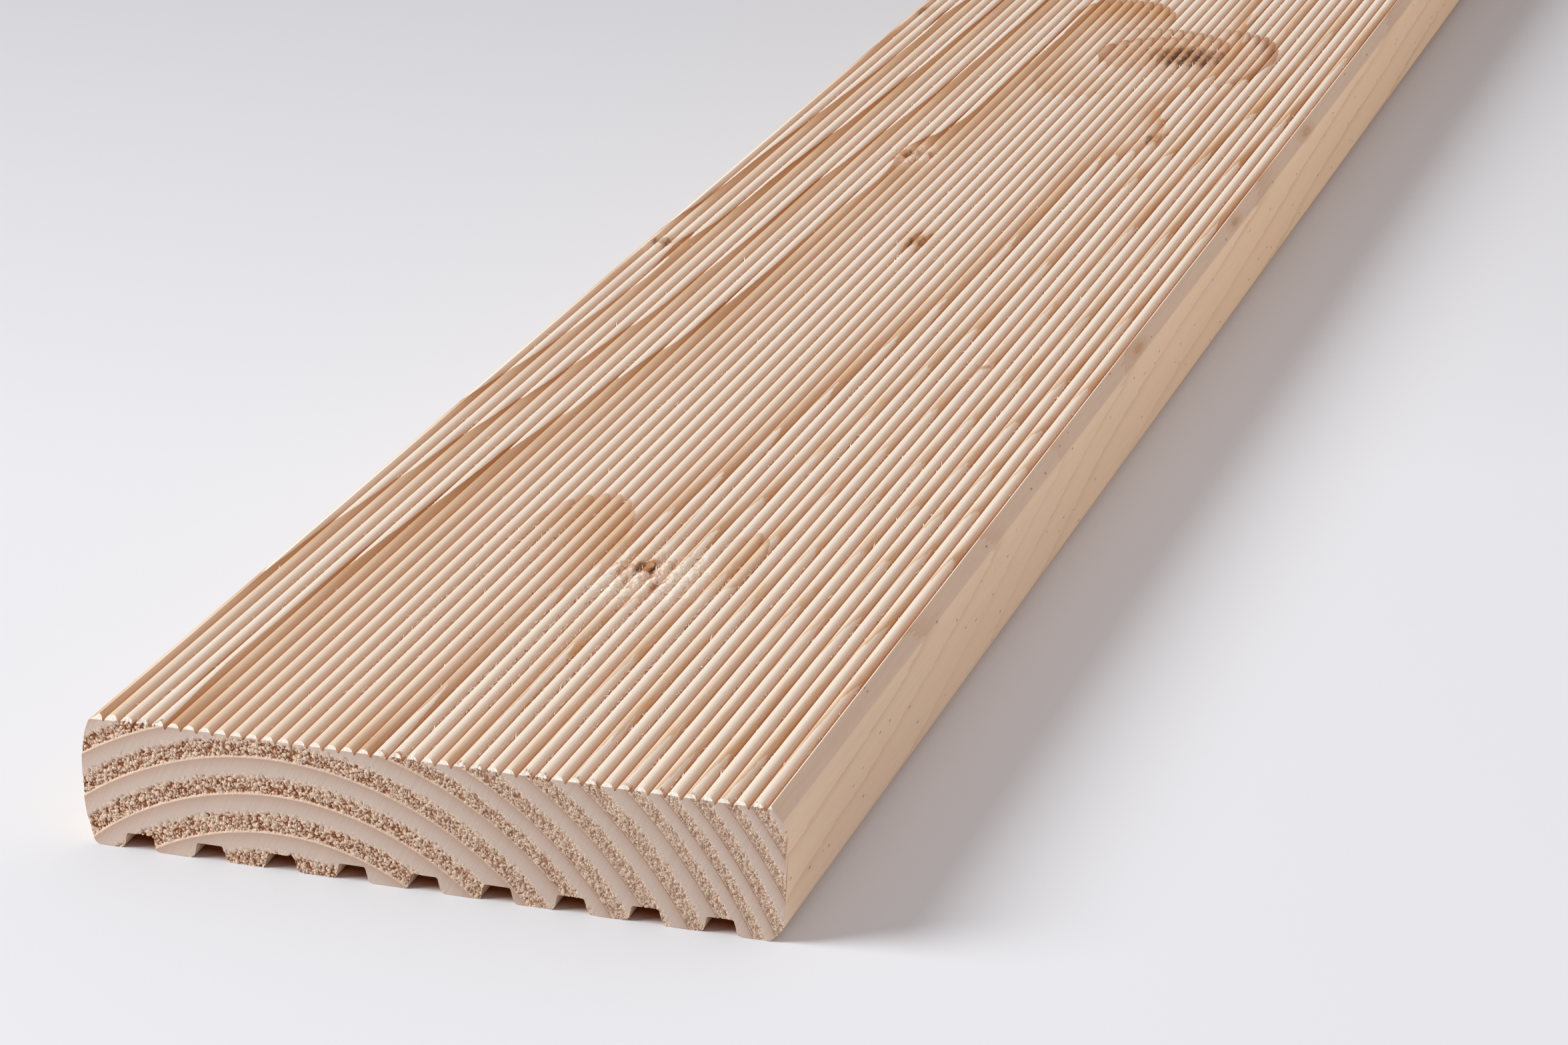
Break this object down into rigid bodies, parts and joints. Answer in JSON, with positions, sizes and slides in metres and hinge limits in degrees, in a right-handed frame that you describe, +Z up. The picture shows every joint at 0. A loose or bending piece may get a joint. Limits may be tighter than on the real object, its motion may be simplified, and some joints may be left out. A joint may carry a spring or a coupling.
{
  "type": "reeded decking board",
  "caption": "Flat softwood decking board with a finely reeded walking face, a channelled underside with feet, one soft edge and one chamfered edge.",
  "frame": {"origin": "middle of the resting face, on the plane of the feet of the underside", "axes": "+Z up out of the reeded walking face, +Y along the board, +X across it towards the chamfered edge"},
  "size_m": [0.145, 1.8, 0.028],
  "materials": {
    "softwood": "planed and untreated, matt, with rough sawn ends"
  },
  "bodies": {
    "root": {"decking_board": "softwood"}
  },
  "joints": []
}
